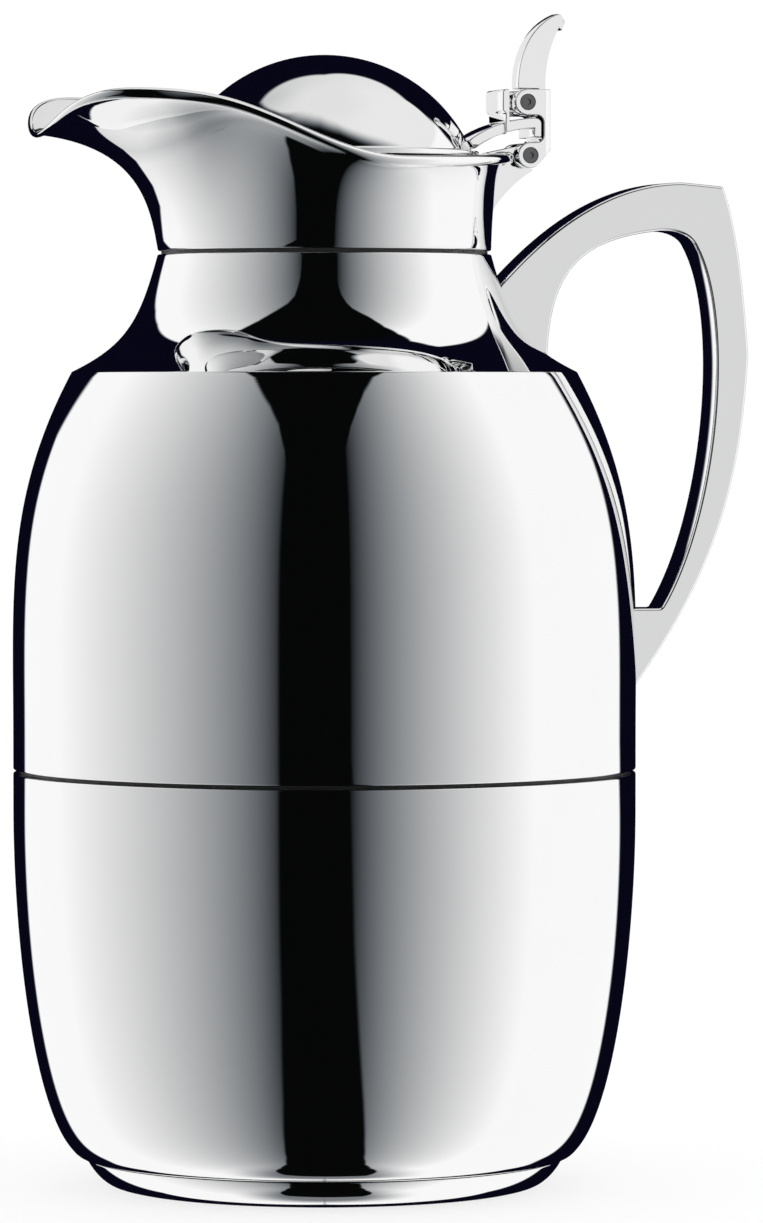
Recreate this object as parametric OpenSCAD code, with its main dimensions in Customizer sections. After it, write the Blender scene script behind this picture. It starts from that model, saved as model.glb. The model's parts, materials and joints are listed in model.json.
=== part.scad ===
// Insulated coffee jug with a glass liner, a pouring collar and a lid on a thumb lever.
// Frame: origin on the body's axis at the resting plane, +Z up, +X towards the handle,
// -X towards the pouring lip. Millimetres.

/* [Body shells] */
// Largest outside diameter of the body
body_d = 132; // [124:1:140]
// Height of the seam between the two body shells
seam_z = 88; // [80:1:96]
// Height of the sharp crease, where the shoulder begins, above that seam
crease_h = 84.4; // [76:0.2:92]
// How far the crease lies inside the body's largest radius
crease_in = 12.5; // [11:0.5:14]
// Height of the shoulder, from the crease up to the neck seam
shoulder_h = 25.2; // [23:0.2:28]
// Outside radius of the neck at its seam with the collar
neck_r = 35.3; // [32:0.1:39]
// Height of the turned-under corner at the bottom of the lower shell
heel_z = 5.8; // [5:0.2:8]
// How far that corner lies inside the body's largest radius
heel_in = 14.4; // [13:0.2:16]
// Sheet thickness of the shells and the collar
sheet = 1; // [0.8:0.1:1.4]
// Width of the dark gap at each seam
seam_gap = 0.8; // [0.6:0.1:1.4]
// Depth of the gap at each seam
seam_depth = 1.5; // [1.3:0.1:2]

/* [Foot] */
// How far the foot ring's top lies inside the turned-under corner
foot_in = 1; // [0.8:0.1:2]
// How much the foot ring narrows towards the resting plane
foot_taper = 5.7; // [5:0.1:6.5]
// Thickness of the base plate
base_plate_t = 2; // [1.5:0.1:2.4]
// Thickness of the non-slip pad
base_pad_t = 1.6; // [1:0.1:2]
// How far the foot ring's rim stays above the resting plane
foot_lift = 0.2; // [0.1:0.1:0.4]

/* [Glass liner] */
// Gap between the liner and the body's largest radius
liner_gap = 8; // [7:0.5:10]
// Room between the neck's inside and the liner's neck
neck_room = 4.8; // [4.2:0.1:5.6]
// How far the liner's mouth lies below the neck seam
mouth_drop = 7.6; // [6.8:0.1:8.4]
// Height of the liner's bottom
liner_bottom_z = 15; // [14:0.5:20]
// Thickness of one glass wall
glass_t = 1.6; // [1.2:0.1:1.8]
// Width of the vacuum between the two glass walls
vacuum_t = 1.8; // [1.4:0.1:2.2]
// Thickness of the rubber gasket on the liner's mouth
gasket_t = 2; // [1.5:0.1:2.5]

/* [Pouring collar] */
// How much wider the rim is than the neck, at the sides and the back
rim_flare = 3.6; // [3:0.1:4.5]
// How far the pouring lip reaches beyond the rim's radius
lip_out = 23.2; // [20:0.2:25]
// Height of the rim's lowest place, on the sides, above the neck seam
rim_side_h = 19.5; // [18:0.1:20.5]
// Height of the rim at the back, under the hinge, above the neck seam
rim_back_h = 21.6; // [20.5:0.1:22.5]
// Height of the two crests beside the pouring lip above the neck seam
rim_crest_h = 33.4; // [30:0.2:36]
// Height of the pouring lip's tip above the neck seam
lip_tip_h = 25; // [23:0.1:27]
// Radius of the rolled bead on the rim
bead_r = 1.2; // [1:0.05:1.3]
// Radius of the thinner edge on the pouring lip
lip_bead_r = 0.6; // [0.5:0.05:0.8]

/* [Lid] */
// Gap between the lid's brim and the rim's radius
brim_gap = 6.2; // [5.6:0.1:6.8]
// How much larger the dome's sphere is than the brim
dome_bulge = 1.4; // [1.2:0.1:2]
// Height of the dome's lower edge above the neck seam
dome_edge_h = 20; // [19.6:0.1:20.4]
// Height of the dome above its lower edge
dome_h = 21.8; // [20:0.1:24]
// Height of the brim
brim_h = 1.4; // [1.2:0.1:1.8]
// Gap between the stopper's plug and the bore
plug_gap = 3; // [2.6:0.1:4]
// Length of the plug below its flange
plug_l = 7; // [5:0.5:8]
// Thickness of the lid arm
arm_t = 2.2; // [1.8:0.1:2.4]

/* [Hinge] */
// Distance of the lever's pin from the rim's radius
hinge_out = 4.7; // [4.5:0.1:5.1]
// Height of the lever's pin above the neck seam
hinge_h = 20.8; // [20.4:0.1:21]
// How far the lid's pin lies inside the lever's pin
lid_pin_in = 0.6; // [0.4:0.1:0.8]
// Height of the lid's pin above the lever's pin
lid_pin_h = 11.3; // [11:0.1:12.4]
// Radius of both pins
pin_r = 1; // [0.8:0.05:1.2]
// Radius of the pins' heads
pin_head_r = 1.6; // [1.5:0.05:1.7]
// Width of the hinge across the lever's ears
hinge_w = 13; // [12:0.5:14]
// Thickness of one ear
ear_t = 3.4; // [3:0.1:3.6]
// Radius of the rounded ears and knuckles
ear_r = 2.7; // [2.6:0.05:2.8]
// Distance of the lever's back face from its pin
spine_out = 4.8; // [4.6:0.1:5.4]
// Thickness of the lever's spine
spine_t = 1.8; // [1.7:0.1:2]
// Chamfer on the lever's back edges
spine_chamfer = 1.4; // [1:0.1:1.6]
// Height of the thumb piece above the lever's ears
thumb_h = 16.4; // [14:0.2:19]
// Width of the thumb piece across the hinge's axis
thumb_w = 5; // [4:0.5:6]

/* [Handle] */
// Width of the handle, seen from the back
handle_w = 10; // [8:0.5:14]
// Distance of the handle's back from the body's largest radius
handle_reach = 27; // [25:0.5:30]
// Height of the handle's top corner above the neck seam
handle_top_h = 14.5; // [12:0.1:15]
// Rise of the handle's top in front of that corner
handle_crown = 0.8; // [0.4:0.1:1]
// Height of the handle's lower end above the body seam
handle_foot_h = 15; // [12:0.5:17]
// Height of the finger opening's lower edge above the handle's lower end
grip_floor_h = 18.8; // [17:0.2:21]
// Thickness of the handle at its back
handle_t = 7.4; // [6:0.1:9]
// How far the upper handle screw lies below the neck seam
screw_top_drop = 14.1; // [13.1:0.1:15.6]
// Height of the lower handle screw above the handle's lower end
screw_low_h = 11; // [9:0.5:12]
// Radius of the handle screws
screw_r = 1.5; // [1.25:0.05:1.75]

/* [Fits] */
// Running clearance of a pin in its bore
pin_clear = 0.05; // [0.02:0.01:0.08]
// Clearance between parts that move past each other
move_clear = 0.3; // [0.2:0.05:0.4]
// Clearance of a seated part in its seat
seat_clear = 0.05; // [0.02:0.01:0.1]

/* [Hidden] */

round_fn = 96;
small_fn = 32;
eps = 0.01;
chrome = [0.86, 0.87, 0.89];
steel = [0.7, 0.71, 0.73];
plastic = [0.16, 0.16, 0.17];
rubber = [0.1, 0.1, 0.1];
glass = [0.78, 0.82, 0.84, 0.5];

body_r = body_d/2;
half_gap = seam_gap/2;
crease_z = seam_z + crease_h;
crease_r = body_r - crease_in;
neck_z = crease_z + shoulder_h;
heel_r = body_r - heel_in;
rim_r = neck_r + rim_flare;
lip_reach = rim_r + lip_out;
rim_side_z = neck_z + rim_side_h;
rim_back_z = neck_z + rim_back_h;
rim_crest_z = neck_z + rim_crest_h;
lip_tip_z = neck_z + lip_tip_h;

// ---- curves ----
function bezier(p0, p1, p2, p3, steps) =
    [for (i = [0:steps]) let (t = i/steps, s = 1 - t)
        s*s*s*p0 + 3*s*s*t*p1 + 3*s*t*t*p2 + t*t*t*p3];
function arc(centre, r, from, to, steps) =
    [for (i = [0:steps]) let (a = from + (to - from)*i/steps)
        centre + r*[cos(a), sin(a)]];
function reversed(path) = [for (i = [len(path) - 1:-1:0]) path[i]];
function left_normal(v) = [-v[1], v[0]]/norm(v);
// The path moved sideways by d, to the left of its direction
function beside(path, d) =
    [for (i = [0:len(path) - 1])
        let (before = path[max(i - 1, 0)], after = path[min(i + 1, len(path) - 1)])
        path[i] + d*left_normal(after - before)];
function smooth(u) = let (v = min(max(u, 0), 1)) (1 - cos(180*v))/2;

// ---- body outline, from the seam upwards and downwards ----
belt_rise = 7;
belt_drop = 8;
seam_round = 0.5;
belly_h = crease_h - belt_rise;
shoulder_in = crease_r - neck_r;
bowl_h = seam_z - belt_drop - heel_z;
upper_curve = bezier([body_r, seam_z + belt_rise], [body_r, seam_z + belt_rise + 0.4*belly_h],
                     [crease_r + 1.136*crease_in, crease_z - 0.345*belly_h],
                     [crease_r, crease_z], 14);
shoulder_curve = bezier([crease_r, crease_z],
                        [crease_r - 0.64*shoulder_in, crease_z + 0.225*shoulder_h],
                        [neck_r + 0.21*shoulder_in, neck_z - 0.57*shoulder_h],
                        [neck_r, neck_z - half_gap], 12);
lower_curve = bezier([body_r, seam_z - belt_drop], [body_r, seam_z - belt_drop - 0.329*bowl_h],
                     [heel_r + 0.8*heel_in, heel_z + 0.151*bowl_h], [heel_r, heel_z], 14);
upper_outline = concat([[body_r - seam_round, seam_z + half_gap],
                        [body_r, seam_z + half_gap + seam_round]],
                       upper_curve, [for (i = [1:12]) shoulder_curve[i]]);
lower_outline = concat([[body_r - seam_round, seam_z - half_gap],
                        [body_r, seam_z - half_gap - seam_round]], lower_curve);
upper_inside = beside(upper_outline, sheet);
heel_flange = 4;
lower_wall = beside(lower_outline, -sheet);

module upper_form(grow) {
    rotate_extrude($fn = round_fn)
        polygon(concat([[0, seam_z + half_gap]], beside(upper_outline, -grow), [[0, neck_z]]));
}

module upper_shell() {
    last = len(upper_outline) - 1;
    inside = concat([[body_r - sheet, seam_z + half_gap]],
                    [for (i = [2:last - 1]) upper_inside[i]],
                    [[neck_r - sheet, neck_z - half_gap]]);
    color(chrome) difference() {
        rotate_extrude($fn = round_fn) polygon(concat(upper_outline, reversed(inside)));
        for (z = [screw_top_z, screw_low_z])
            translate([0, 0, z]) rotate([0, 90, 0])
                cylinder(r = screw_r + move_clear, h = body_r + sheet, $fn = small_fn);
    }
}

module lower_shell() {
    last = len(lower_outline) - 1;
    inside = concat([[body_r - sheet, seam_z - half_gap]],
                    [for (i = [2:last - 1]) lower_wall[i]],
                    [[heel_r - sheet, heel_z + sheet], [heel_r - heel_flange, heel_z + sheet]]);
    color(chrome) rotate_extrude($fn = round_fn)
        polygon(concat(lower_outline, [[heel_r - heel_flange, heel_z]], reversed(inside)));
}

// ---- screw coupling behind the seam between the shells ----
coupling_h = 10;
coupling_t = 2.2;
spigot_t = 2;
spigot_l = 0.9*coupling_h;
ring_r = body_r - sheet - seat_clear;

module upper_coupling_ring() {
    spigot_r = ring_r - coupling_t - seat_clear;
    color(plastic) rotate_extrude($fn = round_fn)
        polygon([[spigot_r - spigot_t, seam_z - spigot_l], [spigot_r, seam_z - spigot_l],
                 [spigot_r, seam_z - half_gap], [body_r - seam_depth, seam_z - half_gap],
                 [body_r - seam_depth, seam_z + half_gap], [ring_r, seam_z + half_gap],
                 [ring_r, seam_z + coupling_h], [ring_r - coupling_t, seam_z + coupling_h],
                 [spigot_r - spigot_t, seam_z + coupling_h - coupling_t]]);
}

module lower_coupling_ring() {
    color(plastic) rotate_extrude($fn = round_fn)
        polygon([[ring_r - coupling_t, seam_z - coupling_h], [ring_r, seam_z - coupling_h],
                 [ring_r, seam_z - half_gap], [ring_r - coupling_t, seam_z - half_gap]]);
}

// ---- foot and base ----
foot_top_r = heel_r - foot_in;
foot_rim_r = foot_top_r - foot_taper;
foot_edge = 0.8;
plate_r = foot_rim_r - foot_edge;
plate_top_z = base_pad_t + base_plate_t;
ledge_in = 2.4;

module foot_ring() {
    flank = bezier([foot_top_r, heel_z], [foot_top_r - 0.21*foot_taper, 0.552*heel_z],
                   [foot_rim_r + 0.35*foot_taper, 0.103*heel_z], [foot_rim_r, foot_lift], 8);
    color(chrome) rotate_extrude($fn = round_fn)
        polygon(concat(flank, [[plate_r + seat_clear, foot_lift],
                               [plate_r + seat_clear, plate_top_z],
                               [plate_r - ledge_in, plate_top_z],
                               [plate_r - ledge_in, heel_z]]));
}

module base_plate() {
    color(plastic) translate([0, 0, base_pad_t])
        cylinder(r = plate_r, h = base_plate_t, $fn = round_fn);
}

module base_pad() {
    color(rubber) cylinder(r = plate_r, h = base_pad_t, $fn = round_fn);
}

// ---- glass liner ----
liner_r = body_r - liner_gap;
liner_neck_r = neck_r - sheet - neck_room;
liner_mouth_z = neck_z - mouth_drop;
flask_t = 2*glass_t + vacuum_t;
liner_curve = concat(
    bezier([0, liner_bottom_z], [0.62*liner_r, liner_bottom_z],
           [liner_r, liner_bottom_z + 0.276*liner_r], [liner_r, liner_bottom_z + 0.81*liner_r], 12),
    bezier([liner_r, liner_mouth_z - 0.9*liner_r], [liner_r, liner_mouth_z - 0.45*liner_r],
           [liner_neck_r, liner_mouth_z - 0.48*liner_neck_r],
           [liner_neck_r, liner_mouth_z - 0.2*liner_neck_r], 10),
    [[liner_neck_r, liner_mouth_z]]);
function liner_layer(d) =
    let (p = beside(liner_curve, d), last = len(p) - 1)
    concat([[0, liner_bottom_z + d]], [for (i = [1:last - 1]) p[i]],
           [[liner_neck_r - d, liner_mouth_z]]);
tip_r = 4;
tip_l = 6;
spacer_r = 5;
spacer_z = liner_bottom_z + liner_r;
support_r = 0.8*foot_rim_r;

module liner_solid(d, top) {
    rotate_extrude($fn = round_fn)
        polygon(concat(liner_layer(d), [[0, liner_mouth_z + top]]));
}

module liner_outer_flask() {
    inner_r = liner_neck_r - glass_t - vacuum_t;
    color(glass) union() {
        difference() {
            liner_solid(0, 0);
            difference() {
                liner_solid(glass_t, 0);
                translate([0, 0, liner_mouth_z - glass_t])
                    cylinder(r = liner_neck_r, h = 2*glass_t, $fn = round_fn);
            }
            translate([0, 0, liner_mouth_z - 2*glass_t])
                cylinder(r = inner_r, h = 3*glass_t, $fn = round_fn);
        }
        translate([0, 0, liner_bottom_z - tip_l])
            cylinder(r1 = tip_r/4, r2 = tip_r, h = tip_l + glass_t/2, $fn = small_fn);
    }
}

module liner_inner_flask() {
    outside = liner_layer(glass_t + vacuum_t);
    inside = liner_layer(flask_t);
    color(glass) rotate_extrude($fn = round_fn) polygon(concat(outside, reversed(inside)));
}

module liner_spacers() {
    color(steel) for (a = [90:120:330])
        intersection() {
            difference() {
                liner_solid(glass_t, 0);
                liner_solid(glass_t + vacuum_t, 0);
            }
            rotate([0, 0, a]) translate([0, 0, spacer_z]) rotate([0, 90, 0])
                cylinder(r = spacer_r, h = liner_r, $fn = small_fn);
        }
}

module liner_support() {
    color(rubber) difference() {
        translate([0, 0, plate_top_z])
            cylinder(r1 = support_r, r2 = 0.92*support_r,
                     h = liner_bottom_z - plate_top_z + 0.22*support_r, $fn = round_fn);
        liner_solid(-seat_clear, 0);
        translate([0, 0, plate_top_z - eps])
            cylinder(r = 0.39*support_r, h = liner_bottom_z, $fn = round_fn);
    }
}

// ---- neck insert and gasket ----
insert_r = neck_r - sheet - seat_clear;
insert_skirt = 2.5;
insert_low_z = liner_mouth_z - insert_skirt;
gasket_out = 0.8;
gasket_r = liner_neck_r + gasket_out;
bore_r = liner_neck_r - flask_t;
gasket_top_z = liner_mouth_z + gasket_t;
throat_h = 8;
seat_h = 6;
seat_out = 4;
seat_rim_h = 2;
seat_rim_out = 3.4;
seat_low_z = gasket_top_z + throat_h;
seat_high_z = seat_low_z + seat_h;
insert_top_z = seat_high_z + seat_rim_h;
function seat_r(z) = bore_r + (z - seat_low_z)*seat_out/seat_h;

module mouth_gasket() {
    color(rubber) difference() {
        translate([0, 0, liner_mouth_z])
            cylinder(r = gasket_r, h = gasket_t, $fn = round_fn);
        translate([0, 0, liner_mouth_z - eps])
            cylinder(r = bore_r, h = gasket_t + 2*eps, $fn = round_fn);
    }
}

module neck_insert() {
    socket_r = gasket_r + seat_clear;
    flange_r = neck_r - seam_depth/2;
    color(plastic) rotate_extrude($fn = round_fn)
        polygon([[socket_r, insert_low_z], [insert_r, insert_low_z],
                 [insert_r, neck_z - half_gap], [flange_r, neck_z - half_gap],
                 [flange_r, neck_z + half_gap], [insert_r, neck_z + half_gap],
                 [insert_r, insert_top_z], [seat_r(seat_high_z) + seat_rim_out, insert_top_z],
                 [seat_r(seat_high_z), seat_high_z],
                 [bore_r, seat_low_z], [bore_r, gasket_top_z], [socket_r, gasket_top_z]]);
}

// ---- pouring collar: one lofted sheet from a round neck to a drawn-out lip ----
// The angle turn is 0 at the lip and 180 at the hinge.
collar_z = neck_z + half_gap;
lip_angle = 35.4;
lip_power = 5.4;
crest_turn = 30;
side_turn = 100.6;
wall_steps = 12;
bead_steps = 8;
loft_turns = 72;
function rim_radius(turn) =
    rim_r + (lip_reach - rim_r)/(1 + pow(turn/lip_angle, lip_power));
function rim_height(turn) =
    rim_side_z + (rim_back_z - rim_side_z)*smooth((turn - side_turn)/(180 - side_turn))
    + (rim_crest_z - rim_side_z)*smooth((side_turn - turn)/(side_turn - crest_turn))
    - (rim_crest_z - lip_tip_z)*smooth((crest_turn - turn)/crest_turn);
// The bead thins towards the lip's tip
function rim_bead(turn) = lip_bead_r + (bead_r - lip_bead_r)*smooth((turn - 8)/24);
// The sheet's outer line at one angle, from the neck seam to the bead
function collar_line(turn) =
    let (r = rim_radius(turn), z = rim_height(turn) - rim_bead(turn),
         rise = z - collar_z, flare = r - neck_r)
    bezier([neck_r, collar_z], [neck_r + 0.076*flare, collar_z + 0.522*rise],
           [neck_r + 0.283*flare, collar_z + 0.919*rise], [r, z], wall_steps);
function collar_section(turn) =
    let (line = collar_line(turn), inner = beside(line, sheet),
         last = wall_steps, centre = line[last],
         way = line[last] - line[last - 1], lean = atan2(way[1], way[0]),
         first_in = [neck_r - sheet, collar_z])
    concat([for (i = [0:last - 1]) line[i]],
           arc(centre, rim_bead(turn), lean - 115, lean + 125, bead_steps),
           [for (i = [last - 1:-1:1]) inner[i]], [first_in]);
section_points = 2*wall_steps + bead_steps + 1;

module spout_collar() {
    points = [for (k = [0:loft_turns - 1])
                 let (a = 360*k/loft_turns, turn = a <= 180 ? a : 360 - a)
                 for (p = collar_section(turn)) [-p[0]*cos(a), -p[0]*sin(a), p[1]]];
    faces = [for (k = [0:loft_turns - 1], i = [0:section_points - 1])
                let (k2 = (k + 1) % loft_turns, i2 = (i + 1) % section_points,
                     a = k*section_points + i, b = k*section_points + i2,
                     c = k2*section_points + i2, d = k2*section_points + i)
                each [[a, b, c], [a, c, d]]];
    color(chrome) polyhedron(points, faces, convexity = 6);
}

// ---- hinge: a bracket on the collar, the thumb lever and its two pins ----
hinge_x = rim_r + hinge_out;
hinge_z = neck_z + hinge_h;
lid_pin_x = hinge_x - lid_pin_in;
lid_pin_z = hinge_z + lid_pin_h;
spine_x = hinge_x + spine_out;
pin_head_l = 0.8;
pin_recess = 0.5;
knuckle_w = hinge_w - 2*ear_t - 2*move_clear;

module plate(width) {
    rotate([90, 0, 0]) linear_extrude(width, center = true) children();
}

module cross_bore(x, z, r) {
    translate([x, 0, z]) rotate([90, 0, 0])
        cylinder(r = r, h = 2*hinge_w, center = true, $fn = small_fn);
}

// The round form of the collar's back, which the bracket is cut to
module collar_back() {
    line = collar_line(180);
    bead = line[wall_steps];
    rotate_extrude($fn = round_fn)
        polygon(concat([[0, neck_z], [line[0][0], neck_z]], line, [[0, bead[1]]]));
    rotate_extrude($fn = round_fn) translate(bead) circle(r = bead_r, $fn = small_fn);
}

module hinge_bracket() {
    foot_z = collar_z + 0.35*(hinge_z - collar_z);
    outline = concat(
        arc([hinge_x, hinge_z], ear_r, 135, -70, 14),
        bezier([hinge_x + 0.6*ear_r, hinge_z - 1.15*ear_r], [rim_r + 0.6*ear_r, hinge_z - 2.2*ear_r],
               [neck_r + 0.9*ear_r, foot_z + 1.5*ear_r], [neck_r, foot_z], 8),
        [[neck_r, hinge_z + 0.2*ear_r]]);
    color(chrome) difference() {
        plate(knuckle_w) polygon(outline);
        collar_back();
        cross_bore(hinge_x, hinge_z, pin_r + pin_clear);
    }
}

module hinge_pin(x, z) {
    difference() {
        union() {
            translate([x, 0, z]) rotate([90, 0, 0])
                cylinder(r = pin_r, h = hinge_w, center = true, $fn = small_fn);
            for (side = [-1, 1])
                translate([x, side*(hinge_w/2 - pin_head_l/2), z]) rotate([90, 0, 0])
                    cylinder(r = pin_head_r, h = pin_head_l, center = true, $fn = small_fn);
        }
        for (side = [-1, 1])
            translate([x, side*hinge_w/2, z]) rotate([90, 0, 0])
                cylinder(r = 0.7*pin_r, h = 2*pin_recess, center = true, $fn = small_fn);
    }
}

module pin_seat(x, z) {
    cross_bore(x, z, pin_r + pin_clear);
    for (side = [-1, 1])
        translate([x, side*hinge_w/2, z]) rotate([90, 0, 0])
            cylinder(r = pin_head_r + pin_clear, h = 2*pin_head_l, center = true, $fn = small_fn);
}

module lever_pin() {
    color(steel) hinge_pin(hinge_x, hinge_z);
}

module lid_pin() {
    color(steel) hinge_pin(lid_pin_x, lid_pin_z);
}

spine_in_x = spine_x - spine_t;
ear_top_z = lid_pin_z + ear_r;
window_low_z = hinge_z + ear_r;
window_high_z = lid_pin_z - ear_r;

// A point of the thumb piece, in shares of its height from the spine's top
function thumb_at(out, up) = [spine_x + out*thumb_h, ear_top_z + up*thumb_h];

module thumb_lever() {
    corner = 0.6*ear_r;
    slot_w = knuckle_w + 2*move_clear;
    block = concat(
        arc([lid_pin_x, lid_pin_z], ear_r, 90, 270, 16),
        [[spine_in_x - corner, window_high_z]],
        arc([spine_in_x - corner, window_high_z - corner], corner, 90, 0, 5),
        arc([spine_in_x - corner, window_low_z + corner], corner, 0, -90, 5),
        arc([hinge_x, hinge_z], ear_r, 90, 300, 18),
        [[spine_x, hinge_z + 0.5*ear_r], [spine_x, ear_top_z]]);
    fin = concat(
        bezier(thumb_at(-0.384, -0.037), thumb_at(-0.415, 0.43), thumb_at(-0.232, 0.83),
               thumb_at(0.152, 0.994), 12),
        [thumb_at(0.195, 0.976), thumb_at(0.25, 0.89), thumb_at(0.207, 0.774)],
        bezier(thumb_at(0.163, 0.811), thumb_at(0.049, 0.58), thumb_at(-0.03, 0.348),
               thumb_at(-0.018, -0.037), 10));
    color(chrome) difference() {
        union() {
            intersection() {
                plate(hinge_w) polygon(block);
                linear_extrude(ear_top_z + eps)
                    polygon([[0, -hinge_w/2], [spine_x - spine_chamfer, -hinge_w/2],
                             [spine_x, spine_chamfer - hinge_w/2],
                             [spine_x, hinge_w/2 - spine_chamfer],
                             [spine_x - spine_chamfer, hinge_w/2], [0, hinge_w/2]]);
            }
            plate(thumb_w) polygon(fin);
        }
        pin_seat(hinge_x, hinge_z);
        pin_seat(lid_pin_x, lid_pin_z);
        translate([hinge_x - 2*ear_r, -slot_w/2, hinge_z - 2*ear_r])
            cube([spine_x, slot_w, 3*ear_r + move_clear]);
        translate([lid_pin_x - 2*ear_r, -slot_w/2, window_high_z - move_clear])
            cube([spine_in_x - lid_pin_x + 2*ear_r, slot_w, 2*ear_r + 2*move_clear]);
    }
}

// ---- lid ----
brim_r = rim_r - brim_gap;
dome_sphere_r = brim_r + dome_bulge;
dome_edge_z = neck_z + dome_edge_h;
dome_top_z = dome_edge_z + dome_h;
dome_centre_z = dome_top_z - dome_sphere_r;
brim_in = 2.2;
plate_disc_r = brim_r - brim_in;
plate_disc_t = 1.2;
plate_ledge = 1;
lid_screw_r = 2;
boss_h = 7;
thread_l = 5.5;

module lid_dome() {
    brim_top_z = dome_edge_z + brim_h;
    color(chrome) difference() {
        union() {
            intersection() {
                translate([0, 0, dome_centre_z]) sphere(r = dome_sphere_r, $fn = round_fn);
                translate([0, 0, dome_edge_z])
                    cylinder(r = dome_sphere_r, h = dome_sphere_r, $fn = round_fn);
            }
            translate([0, 0, dome_edge_z]) cylinder(r = brim_r, h = brim_h, $fn = round_fn);
        }
        intersection() {
            translate([0, 0, dome_centre_z])
                sphere(r = dome_sphere_r - sheet, $fn = round_fn);
            translate([0, 0, brim_top_z])
                cylinder(r = dome_sphere_r, h = dome_sphere_r, $fn = round_fn);
        }
        translate([0, 0, dome_edge_z - 1])
            cylinder(r = plate_disc_r + seat_clear, h = plate_disc_t + 1, $fn = round_fn);
        translate([0, 0, dome_edge_z - 1])
            cylinder(r = plate_disc_r - plate_ledge, h = brim_h + 1 + eps, $fn = round_fn);
    }
}

module lid_plate() {
    color(plastic) difference() {
        union() {
            translate([0, 0, dome_edge_z]) cylinder(r = plate_disc_r, h = plate_disc_t, $fn = round_fn);
            translate([0, 0, dome_edge_z]) cylinder(r = 3*lid_screw_r, h = boss_h, $fn = small_fn);
        }
        translate([0, 0, dome_edge_z - eps])
            cylinder(r = lid_screw_r + pin_clear, h = boss_h - plate_ledge, $fn = small_fn);
    }
}

module lid_arm() {
    tail_x = spine_in_x - move_clear;
    tail_low_z = window_low_z + 4*move_clear;
    tail_t = 0.8*arm_t;
    tail_top_z = window_high_z - move_clear;
    root = [dome_sphere_r - 1.8*arm_t, dome_edge_z + brim_h + 0.2*arm_t];
    lug_back_x = lid_pin_x - 1.48*ear_r;
    lug_t = 0.7*arm_t;
    lug_step = 0.3*arm_t;
    lug_front_x = lug_back_x - lug_t;
    lug_step_z = window_high_z + 0.4*arm_t;
    lug_round = 0.5*lug_t;
    knuckle_r = ear_r - move_clear/3;
    neck_h = 0.78*ear_r;
    top_line = bezier(root + [0, 0.9*arm_t], root + [1.8*arm_t, 2.3*arm_t],
                      [lug_back_x, window_high_z - 0.4*arm_t],
                      [tail_x - tail_t, tail_top_z - 0.14*arm_t], 10);
    low_line = beside(top_line, -arm_t);
    band = concat(top_line,
                  arc([tail_x - 0.7*tail_t, tail_top_z - 0.9*tail_t], 0.7*tail_t, 80, 0, 5),
                  [[tail_x, tail_low_z], [tail_x - tail_t, tail_low_z]], reversed(low_line));
    lug = concat([[lug_front_x + lug_step, root[1] + 1.5*arm_t],
                  [lug_front_x + lug_step, lug_step_z - lug_step], [lug_front_x, lug_step_z]],
                 arc([lug_front_x + lug_round, ear_top_z - lug_round], lug_round, 180, 90, 6),
                 [[lug_back_x, ear_top_z], [lug_back_x, window_high_z - arm_t]]);
    color(chrome) difference() {
        union() {
            plate(hinge_w - 2*lug_step) polygon(band);
            plate(hinge_w) polygon(lug);
            plate(knuckle_w) polygon([[lug_back_x - lug_t/2, lid_pin_z + neck_h],
                                      [lid_pin_x, lid_pin_z + neck_h],
                                      [lid_pin_x, lid_pin_z - neck_h],
                                      [lug_back_x - lug_t/2, lid_pin_z - neck_h]]);
            translate([lid_pin_x, 0, lid_pin_z]) rotate([90, 0, 0])
                cylinder(r = knuckle_r, h = knuckle_w, center = true, $fn = small_fn);
        }
        cross_bore(lid_pin_x, lid_pin_z, pin_r + pin_clear);
        translate([0, 0, dome_centre_z]) sphere(r = dome_sphere_r, $fn = round_fn);
        translate([0, 0, dome_edge_z - 1]) cylinder(r = brim_r, h = brim_h + 1, $fn = round_fn);
    }
}

// ---- stopper ----
plug_r = bore_r - plug_gap;
stem_r = 0.65*plug_r;
flange_rise = 0.6;
flange_t = 2.6;
seal_t = 2.4;
seal_gap = 0.25;
groove = 0.6;
head_r = 4;
head_t = 2.4;
socket_flats_r = 0.6*head_r;
flange_top_z = seat_high_z + flange_rise;
flange_low_z = flange_top_z - flange_t;
seal_low_z = flange_low_z - seal_t;
plug_low_z = flange_low_z - plug_l;
head_low_z = plug_low_z + groove;

module stopper_body() {
    flange_r = (plug_r + seat_r(flange_low_z))/2;
    low_r = plug_r - 2*groove;
    color(plastic) difference() {
        rotate_extrude($fn = round_fn)
            polygon([[0, plug_low_z], [low_r - 3*groove, plug_low_z],
                     [low_r, plug_low_z + 2*groove], [low_r, seal_low_z - groove],
                     [plug_r, seal_low_z - groove], [plug_r, flange_low_z],
                     [flange_r, flange_low_z], [flange_r, flange_top_z], [stem_r, flange_top_z],
                     [stem_r, dome_edge_z], [0, dome_edge_z]]);
        translate([0, 0, plug_low_z - 1])
            cylinder(r = lid_screw_r + move_clear, h = dome_edge_z, $fn = small_fn);
        translate([0, 0, plug_low_z - 1])
            cylinder(r = head_r + move_clear, h = head_t + groove + 1, $fn = small_fn);
    }
}

module stopper_seal() {
    color(rubber) rotate_extrude($fn = round_fn)
        polygon([[plug_r + seat_clear, seal_low_z],
                 [seat_r(seal_low_z) - seal_gap, seal_low_z],
                 [seat_r(flange_low_z) - seal_gap, flange_low_z],
                 [plug_r + seat_clear, flange_low_z]]);
}

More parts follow.
